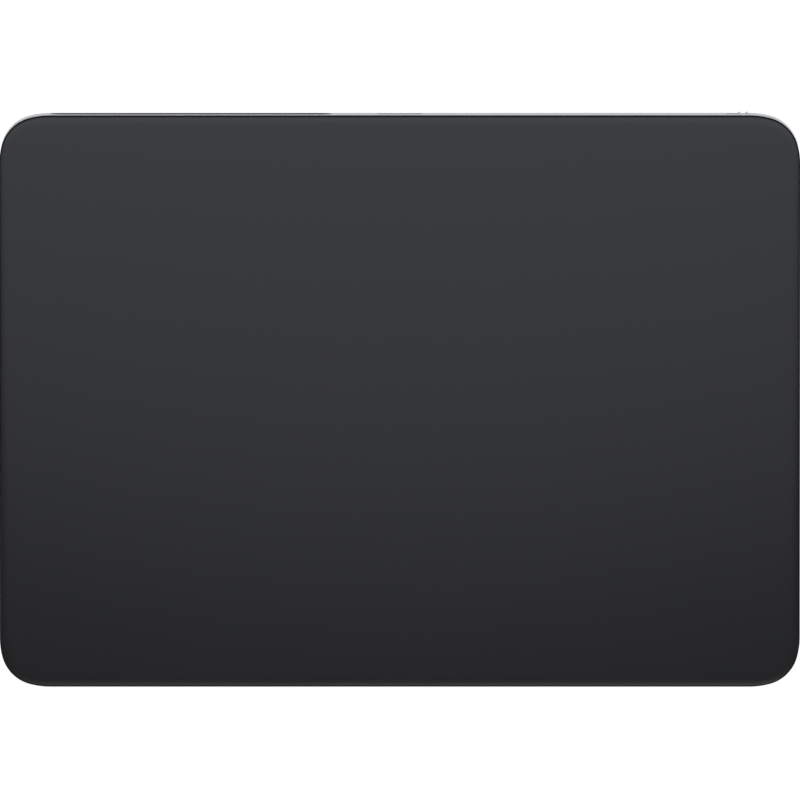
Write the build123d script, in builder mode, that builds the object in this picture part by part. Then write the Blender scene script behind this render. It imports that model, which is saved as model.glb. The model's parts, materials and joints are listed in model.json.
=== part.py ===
from build123d import *
from math import atan, cos, radians, sin, tan
import os

# Wireless trackpad: a low aluminium wedge under one sheet of glass.
# +X is the right side, +Y the rear edge with the port, +Z up. The desk is at height 0.

# Overall size of the wedge
width = 160.0
depth = 114.9
front_height = 4.9
rear_height = 10.9
overrun = 1.0  # every cutter runs this far past the face that it opens

# Corner seen from above: a tight arc that eases into the sides through two soft arcs
corner_radius = 7.7
corner_blend_radius = 16.0
corner_blend_angle = 15.0

# Layers, measured square to the glass
glass_thickness = 1.1
glass_edge_radius = 0.7
bond_thickness = 0.15
bond_inset = 0.4
sensor_thickness = 0.5
sensor_inset = 5.0
sensor_gap = 0.1
sensor_side_gap = 0.3
sensor_corner_radius = 4.0
deck_thickness = 0.8

# Enclosure and bottom cover
wall_thickness = 1.6
bottom_edge_radius = 2.0
seam_inset = 3.0
seam_gap = 0.1
ledge_width = 1.2
ledge_thickness = 1.1
cover_thickness = 0.8
cover_bond_thickness = 0.1
cover_bond_width = 0.8
cover_edge_chamfer = 0.15

# Feet, flexures and strain gauges
foot_reach = 0.7
foot_inset_x = 15.0
foot_inset_y = 15.0
foot_radius = 4.5
foot_pad_thickness = 0.9
foot_gap = 0.3
plunger_flange_radius = 4.2
plunger_flange_thickness = 0.4
plunger_stem_radius = 2.5
plunger_pin_radius = 1.0
turned_sides = 12  # a turned part this small is drawn with flats
rivet_radius = 1.8
rivet_thickness = 0.3
flexure_cover_gap = 0.45
flexure_thickness = 0.4
flexure_head_radius = 5.6
flexure_beam_width = 7.0
flexure_root_width = 13.4
flexure_root_length = 7.0
flexure_root_corner = 1.5
flexure_span = 22.0
flexure_screw_spacing = 8.4
flexure_pin_gap = 0.2
gauge_width = 4.4
gauge_length = 6.0
gauge_thickness = 0.15
gauge_setback = 7.5
gauge_flex_width = 2.4
gauge_flex_reach = 3.0
gauge_flex_turn_gap = 5.5
gauge_flex_step = 1.5
gauge_flex_board_overlap = 3.5

# Charging port
port_mouth_width = 8.34
port_mouth_height = 2.56
port_shell_wall = 0.3
port_shell_depth = 7.3
port_recess = 0.15
port_gap = 0.05
tongue_width = 6.69
tongue_thickness = 0.7
tongue_setback = 0.7
tongue_root_depth = 1.6
contact_pitch = 0.5
contact_width = 0.28
contact_length = 3.4
contact_thickness = 0.05
contacts_per_side = 12
port_bracket_thickness = 0.3
port_bracket_length = 2.8
port_bracket_setback = 4.4
port_bracket_ear = 4.2

# Radio window and antenna
window_left_inset = 10.2
window_port_gap = 9.1
window_margin = 2.2
window_flange = 0.8
window_flange_thickness = 0.5
antenna_gap = 0.15
antenna_depth = 2.6
antenna_trace_width = 0.6
antenna_trace_thickness = 0.1
antenna_pitch = 3.0
antenna_margin = 0.5

# Power switch
slot_width = 4.4
slot_height = 2.4
slot_corner_radius = 0.6
slot_right_inset = 10.4
knob_width = 1.9
knob_gap = 0.1
knob_reach = 0.4
knob_dish_depth = 0.35
knob_rim = 0.2
knob_corner_radius = 0.45
carrier_wall_gap = 0.4
carrier_thickness = 0.5
carrier_lap = 0.3
flag_thickness = 0.1
lever_width = 1.6
lever_height = 1.0
lever_length = 1.7
switch_gap = 0.3
switch_depth = 2.9
switch_width = 9.2
switch_board_width = 16.0
switch_board_corner = 1.6
switch_board_front_lap = 2.4
switch_screw_inset_x = 2.2
switch_screw_inset_y = 1.5
switch_flex_width = 2.0
switch_flex_lap = 0.7
flex_thickness = 0.15

# Logic board
board_thickness = 0.8
board_flexure_gap = 2.3
board_depth = 11.2
board_battery_gap = 0.9
board_antenna_gap = 0.4
board_screw_inset_x = 6.0
board_screw_inset_y = 2.8
can_height = 1.6
can_edge_chamfer = 0.3
can_end_inset = 10.0
can_setback = 6.4
can_bracket_gap = 2.0
can_cable_gap = 2.0
can_connector_gap = 0.6
chip_height = 0.8
chip_size = 3.6
chip_gap = 0.3
chip_bracket_gap = 1.8
chip_cable_gap = 3.8
connector_height = 0.9
connector_length = 2.2
battery_connector_width = 8.0
touch_connector_width = 9.0
touch_connector_gap = 4.0
haptic_connector_width = 4.4

# Touch sensor electronics, hung from the sensor board through a window in the deck
deck_window_length = 8.0
deck_window_margin = 1.5
deck_window_setback = 10.6
touch_chip_size = 5.0
touch_chip_height = 0.9
touch_chip_margin = 1.0
touch_chip_pitch = 8.0
touch_flex_width = 8.0

# Battery
battery_cable_gap = 1.2
battery_haptic_gap = 3.0
battery_cover_gap = 0.15
battery_corner_radius = 2.5
battery_edge_chamfer = 0.8
battery_columns = (-1, 0, 1)
battery_tape_thickness = 0.15
battery_tape_width = 14.0
battery_tape_margin = 1.0
terrace_depth = 2.6
terrace_thickness = 0.4
terrace_margin = 4.0
protection_width = 44.0
protection_depth = 2.2
protection_thickness = 0.7
protection_inset = 2.0
lead_inset = 14.0
lead_width = 6.0
foam_width = 9.0
foam_margin = 4.0

# Haptic engine
haptic_length = 84.0
haptic_depth = 27.0
haptic_front_inset = 28.45
haptic_cover_gap = 0.36
haptic_plate_thickness = 0.4
haptic_wall_thickness = 0.5
haptic_ear = 5.6
haptic_ear_length = 5.0
haptic_screw_inset = 2.6
coil_count = 3
coil_gap = 3.5
coil_depth = 15.0
coil_bar = 4.0
coil_thickness = 0.55
coil_corner = 3.0
core_gap = 0.2
air_gap = 0.12
armature_side_gap = 2.0
armature_corner = 1.0
magnet_width = 6.0
magnet_depth = 13.0
magnet_gap = 0.03
spring_room = 6.5
spring_thickness = 0.3
spring_leg = 7.6
spring_thin_share = 0.85

# Screws: the small ones hold boards and haptic engine, the wide ones the flexures
screw_shank_radius = 0.7
screw_hole_gap = 0.05
screw_thread_depth = 1.3
screw_head_radius = 1.4
screw_head_height = 0.35
flexure_screw_head_radius = 1.7
flexure_screw_head_height = 0.35
haptic_thread_depth = 0.6
screw_head_sides = 12
screw_shank_sides = 6
post_radius = 2.0
post_sides = 8
switch_post_radius = 1.4

# Worked out from the sizes above
slope = atan((rear_height - front_height) / depth)
middle_height = (front_height + rear_height) / 2
rim_drop = glass_thickness + bond_thickness
sensor_floor_drop = rim_drop + sensor_thickness + sensor_gap
deck_drop = sensor_floor_drop + deck_thickness
cover_top = foot_reach + cover_thickness
ledge_bottom = cover_top + cover_bond_thickness
ledge_inset = seam_inset + ledge_width
wall_face = depth / 2 - wall_thickness
screw_hole_radius = screw_shank_radius + screw_hole_gap


def level(drop):
    """Plane parallel to the glass, this far below its top face, with its origin over the middle."""
    return Plane(
        origin=(0, 0, middle_height - drop / cos(slope)),
        x_dir=(1, 0, 0),
        z_dir=(0, -sin(slope), cos(slope)),
    )


def height_at(drop, y):
    """Height above the desk of that plane, at a place between front and rear."""
    return middle_height - drop / cos(slope) + y * tan(slope)


rear_rim = height_at(rim_drop, depth / 2)
port_height = (foot_reach + rear_rim) / 2
port_shell_width = port_mouth_width + 2 * port_shell_wall
port_shell_height = port_mouth_height + 2 * port_shell_wall
board_top = port_height - port_shell_height / 2
board_bottom = board_top - board_thickness


def rear_plane(depth_in):
    """Upright plane this far inside the rear wall's outer face, at port height, facing forwards."""
    return Plane(
        origin=(0, depth / 2 - depth_in, port_height),
        x_dir=(1, 0, 0),
        z_dir=(0, -1, 0),
    )


def body_outline(inset):
    """Outline of the body seen from above, moved inwards: a quarter of it, mirrored twice."""
    half_x = width / 2 - inset
    half_y = depth / 2 - inset
    soft = corner_blend_radius - inset
    tight = corner_radius - inset
    turn = radians(corner_blend_angle)
    reach = soft * (sin(turn) + 1 - cos(turn)) + tight * (cos(turn) - sin(turn))
    with BuildSketch() as outline:
        with BuildLine():
            side = Line((half_x, 0), (half_x, half_y - reach))
            first = JernArc(side @ 1, side % 1, soft, corner_blend_angle)
            middle = JernArc(first @ 1, first % 1, tight, 90 - 2 * corner_blend_angle)
            last = JernArc(middle @ 1, middle % 1, soft, corner_blend_angle)
            Line(last @ 1, (0, half_y))
            mirror(about=Plane.YZ)
            mirror(about=Plane.XZ)
        make_face()
    return outline.sketch


def body_slab(inset, bottom, top):
    """Flat slab with the body's outline moved inwards."""
    with BuildPart() as slab:
        with BuildSketch(Plane.XY.offset(bottom)):
            add(body_outline(inset))
        extrude(amount=top - bottom)
    return slab.part


def body_wedge(inset, bottom, drop):
    """The same, but its top lies parallel to the glass."""
    with BuildPart() as wedge:
        add(body_slab(inset, bottom, rear_height + overrun))
        split(bisect_by=level(drop), keep=Keep.BOTTOM)
    return wedge.part


def screw_set(seats, head_radius, head_height, shank_length):
    """One screw for each seat: the head hangs below the seat's plane, the shank goes up from it."""
    with BuildPart() as screws:
        for seat in seats:
            with BuildSketch(seat):
                RegularPolygon(head_radius, screw_head_sides)
            extrude(amount=-head_height)
            with BuildSketch(seat):
                RegularPolygon(screw_shank_radius, screw_shank_sides)
            extrude(amount=shank_length)
    return screws


def folded_flex(points, x, flex_width):
    """Flat cable of one width whose side view follows the points (front to rear, height)."""
    with BuildPart() as flex:
        with BuildSketch(Plane.YZ.offset(x - flex_width / 2)):
            with BuildLine():
                Polyline(*points)
            trace(line_width=flex_thickness)
        extrude(amount=flex_width)
    return flex


def keep(piece, name):
    """Label a finished piece and write its file."""
    piece.part.label = name
    export_step(piece.part, f"parts/{name}.step")


os.makedirs("parts", exist_ok=True)

# Glass top and the sheet of adhesive under it
with BuildPart() as glass_top:
    add(body_wedge(0, 0, 0))
    split(bisect_by=level(glass_thickness), keep=Keep.TOP)
    glass_face = glass_top.faces().filter_by(level(0)).sort_by(Axis.Z)[-1]
    fillet(glass_face.edges(), glass_edge_radius)
keep(glass_top, "glass_top")

with BuildPart() as glass_adhesive:
    add(body_wedge(bond_inset, 0, glass_thickness))
    split(bisect_by=level(rim_drop), keep=Keep.TOP)
keep(glass_adhesive, "glass_adhesive")

# Touch sensor board, in a pocket on top of the deck
sensor_width = width - 2 * sensor_inset
sensor_length = depth / cos(slope) - 2 * sensor_inset

with BuildPart() as touch_sensor_board:
    with BuildSketch(level(rim_drop)):
        RectangleRounded(sensor_width, sensor_length, sensor_corner_radius)
    extrude(amount=-sensor_thickness)
keep(touch_sensor_board, "touch_sensor_board")

# Places of the feet, the flexures and everything screwed under the deck
foot_x = width / 2 - foot_inset_x
foot_y = depth / 2 - foot_inset_y
flexure_bottom = cover_top + flexure_cover_gap
flexure_top = flexure_bottom + flexure_thickness
root_y = foot_y - flexure_span
corners = {
    "rear_right": (1, 1),
    "rear_left": (-1, 1),
    "front_right": (1, -1),
    "front_left": (-1, -1),
}
flexure_screw_places = [
    (side * foot_x + offset, end * root_y)
    for side, end in corners.values()
    for offset in (-flexure_screw_spacing / 2, flexure_screw_spacing / 2)
]

flexure_side = foot_x - flexure_root_width / 2
board_half_width = flexure_side - board_flexure_gap
antenna_rear = wall_face - antenna_gap
antenna_front = antenna_rear - antenna_depth
board_rear = antenna_front - board_antenna_gap
board_front = board_rear - board_depth
board_tab_rear = wall_face - board_antenna_gap
board_screw_x = board_half_width - board_screw_inset_x
board_screw_y = board_rear - board_screw_inset_y
board_screw_places = [(-board_screw_x, board_screw_y), (board_screw_x, board_screw_y)]

bracket_top = board_top + port_bracket_thickness
bracket_inner = port_shell_width / 2 + port_gap
bracket_outer = bracket_inner + port_bracket_thickness
bracket_span = bracket_outer + port_bracket_ear
port_screw_x = bracket_outer + port_bracket_ear / 2
bracket_y = depth / 2 - port_bracket_setback - port_bracket_length / 2
port_screw_places = [(-port_screw_x, bracket_y), (port_screw_x, bracket_y)]

slot_x = width / 2 - slot_right_inset - slot_width / 2
carrier_rear = wall_face - carrier_wall_gap
carrier_front = carrier_rear - carrier_thickness
switch_rear = carrier_front - switch_gap
switch_front = switch_rear - switch_depth
switch_board_front = switch_front - switch_board_front_lap
switch_screw_reach = switch_board_width / 2 - switch_screw_inset_x
switch_screw_y = switch_board_front + switch_screw_inset_y
switch_screw_places = [
    (slot_x - switch_screw_reach, switch_screw_y),
    (slot_x + switch_screw_reach, switch_screw_y),
]

haptic_front = haptic_front_inset - depth / 2
haptic_rear = haptic_front + haptic_depth
haptic_y = (haptic_front + haptic_rear) / 2
haptic_end = haptic_length / 2 + haptic_ear - haptic_screw_inset
haptic_screw_y = haptic_depth / 2 - haptic_ear_length / 2
haptic_screw_places = [
    (side * haptic_end, haptic_y + end * haptic_screw_y)
    for side in (-1, 1)
    for end in (-1, 1)
]

posts = [(*place, flexure_top, post_radius) for place in flexure_screw_places]
posts += [(*place, board_top, post_radius) for place in board_screw_places]
posts += [(*place, bracket_top, switch_post_radius) for place in port_screw_places]
posts += [(*place, board_top, switch_post_radius) for place in switch_screw_places]

window_left = window_left_inset - width / 2
window_right = -port_shell_width / 2 - port_gap - window_port_gap
window_width = window_right - window_left
window_height = rear_rim - foot_reach - 2 * window_margin
window_x = (window_left + window_right) / 2
flange_width = window_width + 2 * window_flange
flange_height = window_height + 2 * window_flange

# Places of what plugs into the logic board, counted from the port's bracket and the board's ends
battery_side = (
    board_half_width - gauge_flex_width - battery_cable_gap - haptic_connector_width
)
haptic_flex_x = battery_side + haptic_connector_width / 2
gauge_flex_x = board_half_width - gauge_flex_width / 2
touch_flex_x = -bracket_span - touch_connector_gap - touch_connector_width / 2
touch_connector_y = board_rear - 2 * connector_length
connector_y = board_front + connector_length / 2
chip_xs = (
    touch_flex_x - (touch_connector_width + chip_size) / 2 - chip_gap,
    bracket_span + chip_bracket_gap + chip_size / 2,
    battery_side - chip_cable_gap - chip_size / 2,
)

# Window in the deck for the touch sensor's cable and chips
touch_flex_left = touch_flex_x - touch_flex_width / 2
deck_window_left = post_radius - board_screw_x
deck_window_right = touch_flex_x + touch_flex_width / 2 + deck_window_margin
deck_window_x = (deck_window_left + deck_window_right) / 2
deck_window_width = deck_window_right - deck_window_left
deck_window_y = depth / 2 - deck_window_setback

# Enclosure: tub, deck and rear wall in one piece
with BuildPart() as enclosure:
    add(body_slab(0, foot_reach, rear_height + overrun))
    fillet(enclosure.faces().sort_by(Axis.Z)[0].edges(), bottom_edge_radius)
    split(bisect_by=level(rim_drop), keep=Keep.BOTTOM)
    with BuildSketch(level(rim_drop)):
        RectangleRounded(
            sensor_width + 2 * sensor_side_gap,
            sensor_length + 2 * sensor_side_gap,
            sensor_corner_radius + sensor_side_gap,
        )
    extrude(amount=rim_drop - sensor_floor_drop, mode=Mode.SUBTRACT)
    add(body_slab(seam_inset, foot_reach - overrun, ledge_bottom), mode=Mode.SUBTRACT)
    add(body_wedge(ledge_inset, foot_reach, deck_drop), mode=Mode.SUBTRACT)
    add(
        body_wedge(wall_thickness, ledge_bottom + ledge_thickness, deck_drop),
        mode=Mode.SUBTRACT,
    )
    with BuildSketch(level(rim_drop)):
        with Locations((deck_window_x, deck_window_y)):
            Rectangle(deck_window_width, deck_window_length)
    extrude(amount=rim_drop - deck_drop - overrun, mode=Mode.SUBTRACT)
    for post_x, post_y, post_bottom, radius in posts:
        with BuildSketch(Plane.XY.offset(post_bottom)):
            with Locations((post_x, post_y)):
                RegularPolygon(radius, post_sides)
        extrude(amount=height_at(deck_drop - deck_thickness / 2, post_y) - post_bottom)
        with BuildSketch(Plane.XY.offset(post_bottom)):
            with Locations((post_x, post_y)):
                RegularPolygon(screw_hole_radius, screw_shank_sides)
        extrude(amount=screw_thread_depth, mode=Mode.SUBTRACT)
    with BuildSketch(level(deck_drop)):
        with Locations(*haptic_screw_places):
            RegularPolygon(screw_hole_radius, screw_shank_sides)
    extrude(amount=haptic_thread_depth, mode=Mode.SUBTRACT)
    with BuildSketch(rear_plane(-overrun)):
        SlotOverall(port_shell_width + 2 * port_gap, port_shell_height + 2 * port_gap)
        with Locations((slot_x, 0)):
            RectangleRounded(slot_width, slot_height, slot_corner_radius)
        with Locations((window_x, 0)):
            SlotOverall(window_width, window_height)
    extrude(amount=wall_thickness + 2 * overrun, mode=Mode.SUBTRACT)
    with BuildSketch(rear_plane(wall_thickness - window_flange_thickness)):
        with Locations((window_x, 0)):
            SlotOverall(flange_width, flange_height)
    extrude(amount=window_flange_thickness + overrun, mode=Mode.SUBTRACT)
keep(enclosure, "enclosure")

# Bottom cover, let into the underside and glued to the ledge
with BuildPart() as bottom_cover:
    add(body_slab(seam_inset + seam_gap, foot_reach, cover_top))
    with BuildSketch(Plane.XY.offset(foot_reach)):
        for side, end in corners.values():
            with Locations((side * foot_x, end * foot_y)):
                Circle(foot_radius + foot_gap)
    extrude(amount=cover_thickness, mode=Mode.SUBTRACT)
    cover_rim = bottom_cover.faces().sort_by(Axis.Z)[0].outer_wire()
    chamfer(cover_rim.edges(), cover_edge_chamfer)
keep(bottom_cover, "bottom_cover")

with BuildPart() as cover_adhesive:
    add(body_slab(ledge_inset - cover_bond_width, cover_top, ledge_bottom))
    add(body_slab(ledge_inset, cover_top, ledge_bottom), mode=Mode.SUBTRACT)
keep(cover_adhesive, "cover_adhesive")

# Radio window: a plug through the wall with a flange behind it
with BuildPart() as rf_window:
    with BuildSketch(rear_plane(0)):
        with Locations((window_x, 0)):
            SlotOverall(window_width, window_height)
    extrude(amount=wall_thickness)
    with BuildSketch(rear_plane(wall_thickness - window_flange_thickness)):
        with Locations((window_x, 0)):
            SlotOverall(flange_width, flange_height)
    extrude(amount=window_flange_thickness)
keep(rf_window, "rf_window")

# Charging port: steel shell, tongue with its contacts, and the bracket that holds the shell down
with BuildPart() as usb_c_shell:
    with BuildSketch(rear_plane(port_recess)):
        SlotOverall(port_shell_width, port_shell_height)
        SlotOverall(port_mouth_width, port_mouth_height, mode=Mode.SUBTRACT)
    extrude(amount=port_shell_depth)
keep(usb_c_shell, "usb_c_shell")

port_back = port_recess + port_shell_depth
tongue_front = port_recess + tongue_setback
tongue_root_front = port_back - tongue_root_depth

with BuildPart() as usb_c_tongue:
    with BuildSketch(rear_plane(tongue_root_front)):
        SlotOverall(port_mouth_width, port_mouth_height)
    extrude(amount=tongue_root_depth)
    with BuildSketch(rear_plane(tongue_front)):
        Rectangle(tongue_width, tongue_thickness)
    extrude(amount=tongue_root_front - tongue_front)
    chamfer(
        usb_c_tongue.faces().sort_by(Axis.Y)[-1].edges().filter_by(Axis.X),
        contact_width / 2,
    )
keep(usb_c_tongue, "usb_c_tongue")

with BuildPart() as usb_c_contacts:
    with BuildSketch(rear_plane(tongue_root_front - contact_length)):
        for face in (-1, 1):
            with Locations((0, face * (tongue_thickness + contact_thickness) / 2)):
                with GridLocations(contact_pitch, 0, contacts_per_side, 1):
                    Rectangle(contact_width, contact_thickness)
    extrude(amount=contact_length)
keep(usb_c_contacts, "usb_c_contacts")

with BuildPart() as port_bracket:
    bracket_roof = board_top + port_shell_height + port_gap
    with BuildSketch(rear_plane(port_bracket_setback)):
        with Locations((0, board_top - port_height)):
            Rectangle(
                2 * bracket_outer,
                bracket_roof + port_bracket_thickness - board_top,
                align=(Align.CENTER, Align.MIN),
            )
            Rectangle(
                2 * bracket_span,
                port_bracket_thickness,
                align=(Align.CENTER, Align.MIN),
            )
            Rectangle(
                2 * bracket_inner,
                bracket_roof - board_top,
                align=(Align.CENTER, Align.MIN),
                mode=Mode.SUBTRACT,
            )
    extrude(amount=port_bracket_length)
    with BuildSketch(Plane.XY.offset(board_top)):
        with Locations(*port_screw_places):
            RegularPolygon(screw_hole_radius, screw_shank_sides)
    extrude(amount=port_bracket_thickness, mode=Mode.SUBTRACT)
keep(port_bracket, "port_bracket")

# Logic board with its cans, chips, connectors and screws
with BuildPart() as logic_board:
    with BuildSketch(Plane.XY.offset(board_bottom)):
        with Locations((0, (board_front + board_rear) / 2)):
            Rectangle(2 * board_half_width, board_depth)
        with Locations((0, board_tab_rear)):
            Rectangle(
                2 * bracket_span,
                board_tab_rear - board_front,
                align=(Align.CENTER, Align.MAX),
            )
        with Locations(*board_screw_places, *port_screw_places):
            RegularPolygon(screw_hole_radius, screw_shank_sides, mode=Mode.SUBTRACT)
    extrude(amount=board_thickness)
keep(logic_board, "logic_board")

can_ends = (
    (
        can_end_inset - board_half_width,
        touch_flex_x - touch_connector_width / 2 - can_connector_gap,
    ),
    (bracket_span + can_bracket_gap, battery_side - can_cable_gap),
)

with BuildPart() as shield_cans:
    with BuildSketch(Plane.XY.offset(board_top)):
        for can_left, can_right in can_ends:
            with Locations((can_left, board_rear)):
                Rectangle(
                    can_right - can_left,
                    board_depth - can_setback,
                    align=(Align.MIN, Align.MAX),
                )
    extrude(amount=can_height)
    for lid in shield_cans.faces().group_by(Axis.Z)[-1]:
        chamfer(lid.edges(), can_edge_chamfer)
keep(shield_cans, "shield_cans")

chip_y = board_front + connector_length + chip_gap + chip_size / 2

with BuildPart() as logic_chips:
    with BuildSketch(Plane.XY.offset(board_top)):
        for chip_x in chip_xs:
            with Locations((chip_x, chip_y)):
                Rectangle(chip_size, chip_size)
    extrude(amount=chip_height)
keep(logic_chips, "logic_chips")

protection_right = battery_side - terrace_margin - protection_inset
protection_x = protection_right - protection_width / 2
lead_x = protection_right - lead_inset

with BuildPart() as board_connectors:
    with BuildSketch(Plane.XY.offset(board_top)):
        with Locations((lead_x, connector_y)):
            Rectangle(battery_connector_width, connector_length)
        with Locations((touch_flex_x, touch_connector_y)):
            Rectangle(touch_connector_width, connector_length)
        with Locations((haptic_flex_x, connector_y)):
            Rectangle(haptic_connector_width, connector_length)
    extrude(amount=connector_height)
keep(board_connectors, "board_connectors")

board_seats = [Plane((x, y, board_bottom)) for x, y in board_screw_places]
port_seats = [Plane((x, y, board_bottom)) for x, y in port_screw_places]
board_screws = screw_set(
    board_seats,
    screw_head_radius,
    screw_head_height,
    board_thickness + screw_thread_depth - screw_hole_gap,
)
port_screws = screw_set(
    port_seats,
    screw_head_radius,
    screw_head_height,
    board_thickness + port_bracket_thickness + screw_thread_depth - screw_hole_gap,
)
keep(board_screws, "board_screws")
keep(port_screws, "port_screws")

# Chips under the touch sensor board, and its cable down through the deck window to the logic board
touch_chip_count = int((touch_flex_left - deck_window_left) / touch_chip_pitch)

with BuildPart() as touch_controller_chips:
    with BuildSketch(level(rim_drop + sensor_thickness)):
        for place in range(touch_chip_count):
            chip_left = deck_window_left + touch_chip_margin + place * touch_chip_pitch
            with Locations((chip_left + touch_chip_pitch / 2, deck_window_y)):
                Rectangle(touch_chip_size, touch_chip_size)
    extrude(amount=-touch_chip_height)
keep(touch_controller_chips, "touch_controller_chips")

touch_flex_start = deck_window_y
touch_flex_turn = deck_window_y + deck_window_length / 2 - flex_thickness
touch_flex_drop = rim_drop + sensor_thickness + flex_thickness / 2
touch_flex_low = board_top + connector_height + flex_thickness / 2
touch_flex = folded_flex(
    [
        (touch_flex_start, height_at(touch_flex_drop, touch_flex_start)),
        (touch_flex_turn, height_at(touch_flex_drop, touch_flex_turn)),
        (touch_flex_turn, touch_flex_low),
        (touch_connector_y - connector_length / 2, touch_flex_low),
    ],
    touch_flex_x,
    touch_flex_width,
)
keep(touch_flex, "touch_flex")

# Antenna carrier behind the radio window, with a meander of copper on top
antenna_height = window_height
antenna_length = window_width - 2 * antenna_margin
antenna_top = port_height + antenna_height / 2

with BuildPart() as antenna_carrier:
    with BuildSketch(Plane.XY.offset(antenna_top)):
        with Locations((window_x, antenna_rear)):
            Rectangle(antenna_length, antenna_depth, align=(Align.CENTER, Align.MAX))
    extrude(amount=-antenna_height)
    chamfer(
        antenna_carrier.faces().sort_by(Axis.Y)[0].edges().filter_by(Axis.X),
        antenna_margin,
    )
keep(antenna_carrier, "antenna_carrier")

meander_turns = int(antenna_length / antenna_pitch / 2) - 1
meander_left = window_x - antenna_length / 2 + antenna_margin + antenna_trace_width
meander_low = antenna_front + 2 * antenna_margin + antenna_trace_width / 2
meander_high = antenna_rear - antenna_margin

with BuildPart() as antenna_trace:
    with BuildSketch(Plane.XY.offset(antenna_top)):
        with BuildLine():
            meander = []
            for turn in range(meander_turns):
                turn_x = meander_left + 2 * antenna_pitch * turn
                meander.append((turn_x, meander_low))
                meander.append((turn_x, meander_high))
                meander.append((turn_x + antenna_pitch, meander_high))
                meander.append((turn_x + antenna_pitch, meander_low))
            Polyline(*meander)
        trace(line_width=antenna_trace_width)
    extrude(amount=antenna_trace_thickness)
keep(antenna_trace, "antenna_trace")

# Battery pouch with its sealed edge, protection board, lead, tapes and foam
battery_drop = deck_drop + battery_tape_thickness
battery_front = haptic_rear + battery_haptic_gap
battery_rear = board_front - board_battery_gap
battery_edge_y = battery_rear - terrace_depth
battery_length = battery_edge_y - battery_front
battery_width = 2 * battery_side
battery_y = (battery_front + battery_edge_y) / 2
battery_floor = cover_top + battery_cover_gap
battery_thickness = (height_at(battery_drop, battery_front) - battery_floor) * cos(slope)
terrace_drop = battery_drop + (battery_thickness - terrace_thickness) / 2
column_pitch = battery_width / len(battery_columns)

with BuildPart() as battery_cell:
    with BuildSketch(level(battery_drop)):
        with Locations((0, battery_y)):
            RectangleRounded(battery_width, battery_length, battery_corner_radius)
    extrude(amount=-battery_thickness)
    chamfer(battery_cell.faces().filter_by(level(0)).edges(), battery_edge_chamfer)
    with BuildSketch(level(terrace_drop)):
        with Locations((0, battery_edge_y)):
            Rectangle(
                battery_width - 2 * terrace_margin,
                2 * terrace_depth,
            )
    extrude(amount=-terrace_thickness)
keep(battery_cell, "battery_cell")

protection_drop = terrace_drop + terrace_thickness

with BuildPart() as battery_board:
    with BuildSketch(level(protection_drop)):
        with Locations((protection_x, battery_edge_y + terrace_depth / 2)):
            Rectangle(protection_width, protection_depth)
    extrude(amount=-protection_thickness)
keep(battery_board, "battery_board")

lead_start = battery_edge_y + terrace_depth / 2
lead_drop = protection_drop + protection_thickness + flex_thickness / 2
lead_low = board_top + connector_height + flex_thickness / 2
battery_lead = folded_flex(
    [
        (lead_start, height_at(lead_drop, lead_start)),
        (battery_rear, height_at(lead_drop, battery_rear)),
        (battery_rear + board_battery_gap, lead_low),
        (connector_y + connector_length / 2, lead_low),
    ],
    lead_x,
    lead_width,
)
keep(battery_lead, "battery_lead")

with BuildPart() as battery_tapes:
    with BuildSketch(level(deck_drop)):
        for column in battery_columns:
            with Locations((column * column_pitch, battery_y)):
                Rectangle(battery_tape_width, battery_length - 2 * battery_tape_margin)
    extrude(amount=-battery_tape_thickness)
keep(battery_tapes, "battery_tapes")

with BuildPart() as foam_pads:
    with BuildSketch(Plane.XY.offset(cover_top)):
        for column in battery_columns:
            with Locations((column * column_pitch, battery_y)):
                Rectangle(foam_width, battery_length - 2 * foam_margin)
    extrude(amount=rear_height)
    split(bisect_by=level(battery_drop + battery_thickness), keep=Keep.BOTTOM)
keep(foam_pads, "foam_pads")

# Power switch: knob in its slot, the carrier behind the wall and the green flag on it
travel = slot_width - knob_width - 2 * knob_gap
knob_x = slot_x + slot_width / 2 - knob_gap - knob_width / 2
knob_height = slot_height - 2 * knob_gap
carrier_left = slot_x - slot_width / 2 - carrier_lap
flag_left = slot_x + slot_width / 2
flag_right = flag_left + travel + knob_gap
carrier_height = slot_height + 2 * carrier_lap

with BuildPart() as switch_knob:
    with BuildSketch(rear_plane(-knob_reach)):
        with Locations((knob_x, 0)):
            RectangleRounded(knob_width, knob_height, knob_corner_radius)
    extrude(amount=depth / 2 + knob_reach - carrier_rear)
    with BuildSketch(Plane.XY.offset(port_height - slot_height)):
        with BuildLine():
            knob_tip = depth / 2 + knob_reach
            dish_left = (knob_x - knob_width / 2 + knob_rim, knob_tip)
            dish_right = (knob_x + knob_width / 2 - knob_rim, knob_tip)
            ThreePointArc(dish_left, (knob_x, knob_tip - knob_dish_depth), dish_right)
            Line(dish_right, dish_left)
        make_face()
    extrude(amount=2 * slot_height, mode=Mode.SUBTRACT)
keep(switch_knob, "switch_knob")

with BuildPart() as switch_carrier:
    with BuildSketch(rear_plane(depth / 2 - carrier_rear)):
        with Locations(((carrier_left + flag_right) / 2, 0)):
            Rectangle(flag_right - carrier_left, carrier_height)
    extrude(amount=carrier_thickness)
    with BuildSketch(rear_plane(depth / 2 - carrier_front)):
        with Locations((knob_x, 0)):
            Rectangle(lever_width, lever_height)
    extrude(amount=lever_length)
keep(switch_carrier, "switch_carrier")

with BuildPart() as switch_flag:
    with BuildSketch(rear_plane(depth / 2 - carrier_rear)):
        with Locations(((flag_left + flag_right) / 2, 0)):
            Rectangle(flag_right - flag_left, slot_height)
    extrude(amount=-flag_thickness)
keep(switch_flag, "switch_flag")

# Slide switch that the carrier's lever works, on a small board of its own
groove_width = travel + lever_width + 2 * switch_gap
groove_height = lever_height + switch_gap
groove_depth = lever_length

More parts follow.
